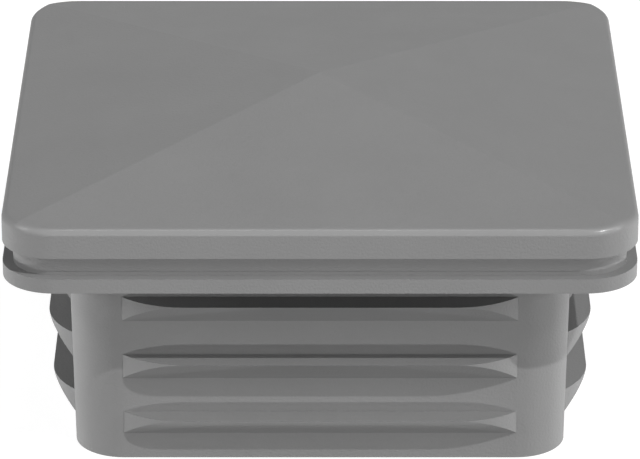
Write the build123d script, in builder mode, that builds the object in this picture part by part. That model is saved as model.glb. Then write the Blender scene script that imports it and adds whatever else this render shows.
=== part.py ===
"""End cap for square tube: a grooved head with a low four-sided point, on a hollow ribbed insert.

One moulded piece, in millimetres. Z = 0 is the open mouth of the insert, +Z points out of the tube,
and the axis of the tube is the Z axis.
"""
from build123d import *
import os
from math import radians, sqrt, tan

os.makedirs("parts", exist_ok=True)

# Square tube that the cap closes: outside width, wall and outside corner.
tube_width = 60.0
tube_wall = 4.0
tube_corner_radius = 5.0

# Head: a square block level with the outside of the tube, with four facets that rise to one point.
head_side = 2.85
head_rise = 3.9
rim_radius = 0.7
ridge_radius = 0.6

# Groove under the head: square in section, the same depth all round.
groove_depth = 1.0
groove_height = 2.1

# Flange that seats on the end of the tube.
flange_thickness = 1.45

# Insert: a hollow skirt that widens towards the flange. The gap to the bore is taken at the mouth.
insert_length = 20.25
insert_gap = 2.25
insert_corner_radius = 4.85
insert_draft = 1.0

# Hollow: open at the mouth, with a ceiling that follows the facets of the head.
wall = 2.5
roof_wall = 3.0
hollow_draft = 0.5
hollow_rounding = 1.0

# Barbed ribs: flat above, sloping below, and curving back to the wall at both ends.
# They reach further than the gap, so that their tips bite the bore. The first has a shorter reach.
rib_pitch = 6.1
rib_slope = 45.0
rib_reach = 2.5
first_rib_height = 5.0
first_rib_reach = 2.3
rib_end_radius = 8.5
rib_root = 0.6

# Widths that follow from the sizes above.
head_width = tube_width
neck_width = head_width - 2 * groove_depth
neck_corner_radius = tube_corner_radius - groove_depth
insert_width = tube_width - 2 * (tube_wall + insert_gap)
hollow_width = insert_width - 2 * wall
hollow_corner_radius = insert_corner_radius - wall

# Levels that follow from the sizes above.
flange_top = insert_length + flange_thickness
head_bottom = flange_top + groove_height
apex = head_bottom + head_side + head_rise
facet_fall = head_rise / (head_width / 2)
hollow_apex = apex - roof_wall
hollow_edge = hollow_apex - facet_fall * hollow_width / 2
rib_count = int((insert_length - first_rib_height) / rib_pitch) + 1


def make_rib(top, reach):
    """One barbed rib on the +Y face, with its flat top at the given height."""
    skin = insert_width / 2 + top * tan(radians(insert_draft))
    tip = skin + reach
    root = skin - rib_root
    drop = (tip - root) * tan(radians(rib_slope))
    half_length = insert_width / 2 - insert_corner_radius
    straight = half_length - sqrt(rib_end_radius**2 - (rib_end_radius - reach) ** 2)
    with BuildPart() as rib:
        # The barb's section, along the whole face
        with BuildSketch(Plane.YZ):
            with BuildLine():
                Polyline((root, top), (tip, top), (root, top - drop), close=True)
            make_face()
        extrude(amount=half_length, both=True)
        # The outline from above, with round ends
        with BuildSketch(Plane.XY.offset(top)):
            with BuildLine():
                Line((-straight, tip), (straight, tip))
                RadiusArc((straight, tip), (half_length, skin), rib_end_radius)
                Polyline(
                    (half_length, skin),
                    (half_length, root),
                    (-half_length, root),
                    (-half_length, skin),
                )
                RadiusArc((-half_length, skin), (-straight, tip), rib_end_radius)
            make_face()
        extrude(amount=-drop, mode=Mode.INTERSECT)
    return rib.part


def above_two_facets(peak):
    """The space above two opposite facets that fall from one peak to the -X and +X sides."""
    side = head_width
    with BuildPart() as space:
        with BuildSketch(Plane.XZ):
            with BuildLine():
                Polyline(
                    (0, peak),
                    (side, peak - side * facet_fall),
                    (side, peak + head_rise),
                    (-side, peak + head_rise),
                    (-side, peak - side * facet_fall),
                    close=True,
                )
            make_face()
        extrude(amount=side, both=True)
    return space.part


def facet_rim(block, level):
    """Edges where four facets meet the sides of a block: the corners lie a little above the level."""
    return block.edges().filter_by_position(Axis.Z, level - head_rise / 8, level + head_rise / 4)


ribs = [make_rib(first_rib_height, first_rib_reach)]
for number in range(1, rib_count):
    ribs.append(make_rib(first_rib_height + number * rib_pitch, rib_reach))

above_head = above_two_facets(head_side + head_rise)
above_hollow = above_two_facets(hollow_apex)

# Head on its own, standing on Z = 0, with its ridges and rim softened
with BuildPart() as head:
    with BuildSketch():
        RectangleRounded(head_width, head_width, tube_corner_radius)
    extrude(amount=head_side + head_rise)
    with PolarLocations(0, 2, angular_range=180):
        add(above_head, mode=Mode.SUBTRACT)
    fillet(head.edges().group_by(Axis.Z)[-1], ridge_radius)
    fillet(facet_rim(head, head_side), rim_radius)

with BuildPart() as hollow:
    with BuildSketch():
        RectangleRounded(hollow_width, hollow_width, hollow_corner_radius)
    extrude(amount=apex, taper=hollow_draft)
    with PolarLocations(0, 2, angular_range=180):
        add(above_hollow, mode=Mode.SUBTRACT)
    fillet(hollow.edges().group_by(Axis.Z)[-1], ridge_radius)
    fillet(facet_rim(hollow, hollow_edge), hollow_rounding)

with BuildPart() as end_cap:
    # Insert
    with BuildSketch():
        RectangleRounded(insert_width, insert_width, insert_corner_radius)
    extrude(amount=insert_length, taper=-insert_draft)
    # Ribs, alike on all four faces
    for rib in ribs:
        with PolarLocations(0, 4):
            add(rib)
    # Flange
    with BuildSketch(Plane.XY.offset(insert_length)):
        RectangleRounded(head_width, head_width, tube_corner_radius)
    extrude(amount=flange_thickness)
    # Neck
    with BuildSketch(Plane.XY.offset(flange_top)):
        RectangleRounded(neck_width, neck_width, neck_corner_radius)
    extrude(amount=groove_height)
    # Head
    with Locations((0, 0, head_bottom)):
        add(head.part)
    # Hollow
    add(hollow.part, mode=Mode.SUBTRACT)

end_cap.part.label = "end_cap"
export_step(end_cap.part, "parts/end_cap.step")
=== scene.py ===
# %% [markdown]
# # A square tube end cap in a white studio
#
# The cap closes the sawn end of a square steel tube. It is one piece of moulded plastic: a head
# with four low facets, a square groove under the head, a thin flange that seats on the tube, and
# a hollow insert whose barbed ribs bite the bore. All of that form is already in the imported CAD
# part, so this lesson adds no shapes to it. It gives the plastic its finish, then builds the
# table, the lamps and the camera that show it.

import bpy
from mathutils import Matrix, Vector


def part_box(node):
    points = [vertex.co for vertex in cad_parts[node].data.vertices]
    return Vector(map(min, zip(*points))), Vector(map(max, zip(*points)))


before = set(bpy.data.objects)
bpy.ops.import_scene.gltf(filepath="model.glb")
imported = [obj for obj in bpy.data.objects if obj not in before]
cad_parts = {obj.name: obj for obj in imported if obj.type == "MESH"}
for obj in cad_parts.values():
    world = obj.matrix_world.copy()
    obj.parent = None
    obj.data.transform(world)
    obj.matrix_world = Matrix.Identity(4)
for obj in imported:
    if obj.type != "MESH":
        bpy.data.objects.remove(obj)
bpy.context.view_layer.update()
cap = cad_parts["end_cap"]
cap_low, cap_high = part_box("end_cap")

MM = 0.001
print(f"The cap is {(cap_high.x - cap_low.x) / MM:.1f} mm wide and {cap_high.z / MM:.2f} mm high")

# %% [markdown]
# ## Helpers for making materials
#
# A material in Blender is a sheet of nodes joined by wires. Wired by hand, even a short sum
# becomes many lines of code. Two small classes keep it readable. `Value` wraps one output of a
# node, and its operators add the Math nodes, so `0.5 + 0.1 * spots` can be written as it stands.
# `NodeSheet` holds the sheet itself, and its one method `node` adds any node with its settings
# and its inputs.

# %% A value that can be used in sums
import math

import bpy
from mathutils import Vector


class Value:
    """One output of a node. Each operator adds a Math node and gives its result as a new Value."""

    def __init__(self, sheet, socket):
        self.sheet = sheet
        self.socket = socket

    def math(self, operation, first, second):
        return self.sheet.node("ShaderNodeMath", {"operation": operation}, {0: first, 1: second})

    def __add__(self, other):
        return self.math("ADD", self, other)

    def __radd__(self, other):
        return self.math("ADD", other, self)

    def __sub__(self, other):
        return self.math("SUBTRACT", self, other)

    def __rsub__(self, other):
        return self.math("SUBTRACT", other, self)

    def __mul__(self, other):
        return self.math("MULTIPLY", self, other)

    def __rmul__(self, other):
        return self.math("MULTIPLY", other, self)


print("A Value takes part in sums with + - and *")


# %% A sheet of nodes
class NodeSheet:
    """The nodes of one material, or of the world."""

    def __init__(self, owner):
        owner.use_nodes = True
        self.tree = owner.node_tree
        self.tree.nodes.clear()

    def node(self, kind, settings=None, inputs=None, output=0):
        """Adds a node: settings first, then each input as a number, a colour or a Value."""
        made = self.tree.nodes.new(kind)
        for name, setting in (settings or {}).items():
            setattr(made, name, setting)
        for name, given in (inputs or {}).items():
            if isinstance(given, Value):
                self.tree.links.new(given.socket, made.inputs[name])
            else:
                made.inputs[name].default_value = given
        if not made.outputs:
            return made
        return Value(self, made.outputs[output])

    def noise(self, place, size, detail):
        """Soft random spots of about the given size, in metres, running from -0.5 to 0.5."""
        settings = {"noise_dimensions": "3D", "normalize": True}
        inputs = {"Vector": place, "Scale": 1 / size, "Detail": detail, "Roughness": 0.5}
        return self.node("ShaderNodeTexNoise", settings, inputs, "Fac") - 0.5

    def rise(self, value, start, end):
        """0 below the start, 1 above the end, and a smooth step between them."""
        inputs = {"Value": value, "From Min": start, "From Max": end}
        return self.node("ShaderNodeMapRange", {"interpolation_type": "SMOOTHSTEP"}, inputs)

    def vector(self, operation, first, second=(0, 0, 0), output="Vector"):
        """Does one sum on whole vectors, such as places."""
        inputs = {0: first, 1: second}
        return self.node("ShaderNodeVectorMath", {"operation": operation}, inputs, output)


print("A NodeSheet adds nodes, noise, smooth steps and sums on whole vectors")

# %% [markdown]
# ## The moulded plastic
#
# Caps like this are injection moulded in a tough plastic such as polyamide, and the plastic
# copies the steel that it was pressed against. Outside, the steel has a fine spark-eroded grain,
# which gives a dull satin face. Inside, the core of the mould is only ground in the direction it
# pulls out, so the walls of the hollow carry fine upright lines and shine a little more. The
# rounded rim of the head gets burnished: caps rub there in the bag and under the hammer.
#
# All patterns read Object coordinates, which are fixed to the part, so they stay on it from every
# side.
#
# ### Colour
#
# A single grey would look like paint. The pigment is stirred into the plastic by the screw of the
# machine, and never quite evenly, so the grey clouds very slightly. The clouds are soft noise, a
# few millimetres across. The sum is done on a plain number, and three equal numbers make the
# colour.

# %% Cloud the grey
plastic_grey = 0.25
pigment_cloud_size = 9 * MM
pigment_cloud_strength = 0.1


def clouded_grey(sheet, place):
    clouds = sheet.noise(place, pigment_cloud_size, detail=3)
    shade = plastic_grey * (1 + pigment_cloud_strength * clouds)
    channels = {"Red": shade, "Green": shade, "Blue": shade}
    return sheet.node("ShaderNodeCombineColor", {"mode": "RGB"}, channels)


print("The grey is", plastic_grey, "give or take", plastic_grey * pigment_cloud_strength / 2)

# %% [markdown]
# ### Where the rim and the hollow are
#
# The rim and the hollow have a finish of their own, so the material needs to know where they are.
# Both follow the outline of a square with round corners. A handy measure of such an outline is
# the distance out from a smaller square, whose corners are the centres of the round corners: it
# is the same all along the outline, corners and all. A height then picks out the rim. For the
# hollow, faces that look up are left out, because the facets of the head lie over it, and so is
# the flat end of its wall.


# %% Find the rim and the hollow
def distance_out(sheet, place, centre):
    """How far a place lies outside the square whose corners are at the given centre."""
    flat = sheet.vector("MULTIPLY", place, (1, 1, 0))
    beyond = sheet.vector("SUBTRACT", sheet.vector("ABSOLUTE", flat), (centre, centre, 0))
    return sheet.vector("LENGTH", sheet.vector("MAXIMUM", beyond), output="Value")


def upward(sheet, direction):
    """The upward part of a place or a direction."""
    return sheet.vector("DOT_PRODUCT", direction, (0, 0, 1), output="Value")


rim_corner_centre = 25 * MM
rim_inner = (4.15 * MM, 4.5 * MM)
rim_bottom = (26.15 * MM, 26.3 * MM)


def burnished_rim(sheet, place):
    """1 on the rounded rim of the head and 0 elsewhere."""
    outwards = distance_out(sheet, place, rim_corner_centre)
    return sheet.rise(outwards, *rim_inner) * sheet.rise(upward(sheet, place), *rim_bottom)


hollow_corner_centre = 18.9 * MM
mid_wall = (3.5 * MM, 3.7 * MM)
above_mouth = (0.05 * MM, 0.15 * MM)
facing_up = (0.3, 0.5)


def core_side(sheet, place):
    """1 in the hollow, which the core of the mould shapes, and 0 on the outside."""
    inside = 1 - sheet.rise(distance_out(sheet, place, hollow_corner_centre), *mid_wall)
    facing = sheet.node("ShaderNodeTexCoord", output="Normal")
    not_facet = 1 - sheet.rise(upward(sheet, facing), *facing_up)
    return inside * sheet.rise(upward(sheet, place), *above_mouth) * not_facet


print(f"The rim starts {rim_bottom[0] / MM:.2f} mm above the mouth of the hollow")

# %% [markdown]
# ### Sheen
#
# The plastic packs against the steel better in some places than in others, so its sheen is uneven
# too. That is a second noise, finer than the clouds, and it feeds the roughness. The core side is
# smoother.
#
# The rim needs more than a lower roughness. Rubbing closes the surface to a thin glossy skin, and
# a coat over the dull plastic shows just that: a crisp glint from the key lamp. The coat fades
# where the rim turns away and is seen edge on. There even a dull face mirrors the white studio,
# and a coat would outline the whole head in white.

# %% Set the roughness and the polish
plastic_roughness = 0.72
sheen_patch_size = 3 * MM
sheen_patch_strength = 0.1
core_roughness = 0.55


def uneven_roughness(sheet, place, core):
    patches = sheet.noise(place, sheen_patch_size, detail=2)
    roughness = plastic_roughness + sheen_patch_strength * patches
    return roughness + (core_roughness - plastic_roughness) * core


rim_polish = 0.8
turning_away = (0.1, 0.3)


def polish(sheet, rim):
    """The strength of the glossy skin: most where the rim is seen head on, and 0 off the rim."""
    edge_on = sheet.node("ShaderNodeLayerWeight", {}, {"Blend": 0.5}, "Facing")
    return rim_polish * (rim * (1 - sheet.rise(edge_on, *turning_away)))


print("The roughness is", plastic_roughness, "outside and", core_roughness, "in the hollow")

# %% [markdown]
# ### Relief
#
# The grain is a quarter of a millimetre across and a few hundredths deep, far too fine to model
# as faces, so it is a bump. The ground lines of the core are the same kind of noise, drawn out
# upwards: squeezing the upward coordinate to a fiftieth makes each spot fifty times as tall. On
# the rim the grain is nearly worn away.

# %% Make the grain and the ground lines
grain_size = 0.25 * MM
grain_depth = 0.04 * MM
rim_grain_left = 0.15
grinding_width = 0.12 * MM
grinding_squeeze = 0.02


def fine_relief(sheet, place, rim, core):
    grain = sheet.noise(place, grain_size, detail=2)
    drawn_out = sheet.vector("MULTIPLY", place, (1, 1, grinding_squeeze))
    grinding = sheet.noise(drawn_out, grinding_width, detail=1)
    height = grain * (1 - (1 - rim_grain_left) * rim) + core * (grinding - grain)
    inputs = {"Strength": 1, "Distance": grain_depth, "Height": height}
    return sheet.node("ShaderNodeBump", {}, inputs)


print("The grain is", grain_size / MM, "mm across")

# %% [markdown]
# ### The finished plastic
#
# The pieces above meet in one Principled shader. What is the same all over is a plain number on
# the shader: how strongly the plastic mirrors, and how smooth the worn skin is. The material then
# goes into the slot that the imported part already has, so the part itself isn't touched.

# %% Put the plastic on the cap
plastic_ior = 1.5
plastic_shine = 0.16
rim_roughness = 0.27


def moulded_plastic():
    material = bpy.data.materials.new("moulded_plastic")
    sheet = NodeSheet(material)
    place = sheet.node("ShaderNodeTexCoord", output="Object")
    rim = burnished_rim(sheet, place)
    core = core_side(sheet, place)
    inputs = {
        "Base Color": clouded_grey(sheet, place),
        "Roughness": uneven_roughness(sheet, place, core),
        "IOR": plastic_ior,
        "Specular IOR Level": plastic_shine,
        "Coat Weight": polish(sheet, rim),
        "Coat Roughness": rim_roughness,
        "Coat IOR": plastic_ior,
        "Normal": fine_relief(sheet, place, rim, core),
    }
    plastic = sheet.node("ShaderNodeBsdfPrincipled", {}, inputs)
    sheet.node("ShaderNodeOutputMaterial", {}, {"Surface": plastic})
    return material


cap.material_slots[0].material = moulded_plastic()
print("The cap's material is", cap.material_slots[0].material.name)

# %% [markdown]
# ## The table and the backdrop
#
# The cap stands on the edge of its open mouth, on a white table that runs on into a white
# backdrop. Pouring light on them would wash out the cap, so they are made bright in another way:
# they glow, but only for rays that come from the camera or that mirror off the cap. Light Path
# tells those rays apart. A little plain paint is added to the glow, so that the cap's shadow
# still shows, faintly.
#
# To every other ray the table is clear. The light that a white table would throw back up is given
# by lamps below it instead, which keeps it even. From below the table is clear to the camera as
# well, so that the underside of the cap can be looked at. The table lies a hair below the mouth
# of the cap, because two faces in one plane would flicker through each other.

# %% Make the table and the backdrop
table_width = 3.0
table_gap = 0.05 * MM
table_glow = 0.93
table_paint = 0.2
backdrop_glow = 1.0
backdrop_fill = 0.02
white = (1, 1, 1, 1)


def seen_directly(sheet):
    """1 for rays from the camera, or mirrored or bent towards it, and 0 for all other rays."""
    camera = sheet.node("ShaderNodeLightPath", output="Is Camera Ray")
    mirrored = sheet.node("ShaderNodeLightPath", output="Is Glossy Ray")
    bent = sheet.node("ShaderNodeLightPath", output="Is Transmission Ray")
    return camera + mirrored + bent


def white_table():
    material = bpy.data.materials.new("white_table")
    sheet = NodeSheet(material)
    from_below = sheet.node("ShaderNodeNewGeometry", output="Backfacing")
    shows = seen_directly(sheet) * (1 - from_below)
    paint = sheet.node("ShaderNodeBsdfDiffuse", {}, {"Color": (table_paint,) * 3 + (1,)})
    glow = sheet.node("ShaderNodeEmission", {}, {"Color": white, "Strength": table_glow})
    top = sheet.node("ShaderNodeAddShader", {}, {0: paint, 1: glow})
    clear = sheet.node("ShaderNodeBsdfTransparent")
    surface = sheet.node("ShaderNodeMixShader", {}, {0: shows, 1: clear, 2: top})
    sheet.node("ShaderNodeOutputMaterial", {}, {"Surface": surface})
    return material


def white_backdrop():
    world = bpy.data.worlds.new("white_backdrop")
    sheet = NodeSheet(world)
    glow = sheet.node("ShaderNodeBackground", {}, {"Color": white, "Strength": backdrop_glow})
    fill = sheet.node("ShaderNodeBackground", {}, {"Color": white, "Strength": backdrop_fill})
    surface = sheet.node("ShaderNodeMixShader", {}, {0: seen_directly(sheet), 1: fill, 2: glow})
    sheet.node("ShaderNodeOutputWorld", {}, {"Surface": surface})
    return world


bpy.ops.object.select_all(action="DESELECT")
bpy.ops.mesh.primitive_plane_add(size=table_width, location=(0, 0, cap_low.z - table_gap))
table = bpy.context.object
table.name = "table"
table.data.materials.append(white_table())
bpy.context.scene.world = white_backdrop()
print("The table is", table_width, "m wide")

# %% [markdown]
# ## The lamps
#
# All lamps but one are suns. A sun is so far away that its light falls the same everywhere, so it
# needs no careful placing: only a direction, a strength and a softness. The strength is given
# here as a share. A face turned straight at a lamp with a share of 1 is as bright as its colour is
# written, so the shares that reach a face can simply be added up, and should come to about 1.
#
# - The key stands high at the front right. It is hard, so it draws the crisp shadows of the head
#   and ribs.
# - Soft fills stand all round and overhead. They even out the four facets, which would otherwise
#   turn to the light very unequally. None stands straight behind, where the back facet would
#   mirror it.
# - A ring of lamps stands below the table and shines up through it, in place of the light that a
#   white table throws back. It brightens the upright corners and keeps the undersides from going
#   black.

# %% Make a sun
def add_sun(name, turn, height, share, softness):
    """A far lamp, `turn` degrees round to the right from the front, and `height` degrees up."""
    level = math.cos(math.radians(height))
    towards = Vector(
        (
            level * math.sin(math.radians(turn)),
            -level * math.cos(math.radians(turn)),
            math.sin(math.radians(height)),
        )
    )
    aim = towards.to_track_quat("Z", "Y").to_euler()
    bpy.ops.object.light_add(type="SUN", location=towards, rotation=aim)
    sun = bpy.context.object
    sun.name = name
    sun.data.energy = math.pi * share
    sun.data.angle = math.radians(softness)


print("A sun with a share of 1 has a strength of", round(math.pi, 3))

# %% Place the suns
# Each row holds a name, the turn, the height, the share and the softness.
suns = (
    ("key", 44, 51.5, 0.485, 1),
    ("top", 0, 90, 0.085, 10),
    ("high_left", -72, 40, 0.13, 10),
    ("high_right", 72, 40, 0.13, 10),
    ("left", -72, 20, 0.19, 10),
    ("right", 72, 20, 0.12, 10),
    ("front_right", 36, 20, 0.115, 10),
    ("front", 0, 0, 0.215, 10),
    ("left_back", -125, 20, 0.06, 20),
    ("right_back", 125, 20, 0.06, 20),
    ("under_front", 0, -23, 0.245, 2),
    ("under_left", -100, -23, 0.465, 2),
    ("under_right", 100, -23, 0.36, 2),
    ("under_left_back", -130, -23, 0.17, 2),
    ("under_right_back", 130, -23, 0.31, 2),
    ("under_back", 180, -23, 0.35, 2),
    ("deep_left_back", -120, -55, 0.33, 10),
)
for name, turn, height, share, softness in suns:
    add_sun(name, turn, height, share, softness)
print("Placed", len(suns), "suns")

# %% [markdown]
# Suns can't reach far into the hollow, and it would be a black box from below. So a small square
# lamp lies just under the mouth and shines straight up. It is smaller than the mouth, so its
# light reaches only the hollow and the flat end of the wall round it.

# %% Light the hollow
hollow_lamp_width = 36 * MM
hollow_lamp_drop = 2 * MM
hollow_lamp_watts = 0.006

bpy.ops.object.light_add(
    type="AREA", location=(0, 0, cap_low.z - hollow_lamp_drop), rotation=(math.pi, 0, 0)
)
hollow_lamp = bpy.context.object
hollow_lamp.name = "hollow_lamp"
hollow_lamp.data.shape = "SQUARE"
hollow_lamp.data.size = hollow_lamp_width
hollow_lamp.data.energy = hollow_lamp_watts
hollow_lamp.visible_camera = False
print("The lamp under the mouth is", round(hollow_lamp_width / MM), "mm wide")

# %% [markdown]
# ## The camera
#
# The camera stands straight in front and looks down by about 24 degrees, so the four facets, the
# front ribs and the ends of the side ribs all show at once. A long lens from half a metre away
# keeps upright edges nearly parallel, as they look on a small object held at arm's length. The
# view is wide enough for the head, which almost fills it from side to side.

# %% Place the camera
view_tilt = math.radians(23.81)
view_distance = 473.3 * MM
aim_height = 13.58 * MM
lens_length = 266.1
film_width = 36
sight_limit = 10

spot = (0, -view_distance * math.cos(view_tilt), aim_height + view_distance * math.sin(view_tilt))
bpy.ops.object.camera_add(location=spot, rotation=(math.pi / 2 - view_tilt, 0, 0))
camera = bpy.context.object
camera.name = "camera"
camera.data.sensor_width = film_width
camera.data.lens = lens_length
camera.data.clip_end = sight_limit
bpy.context.scene.camera = camera
bpy.context.scene.view_settings.view_transform = "Standard"
print("The camera stands", round(view_distance / MM), "mm from the cap")
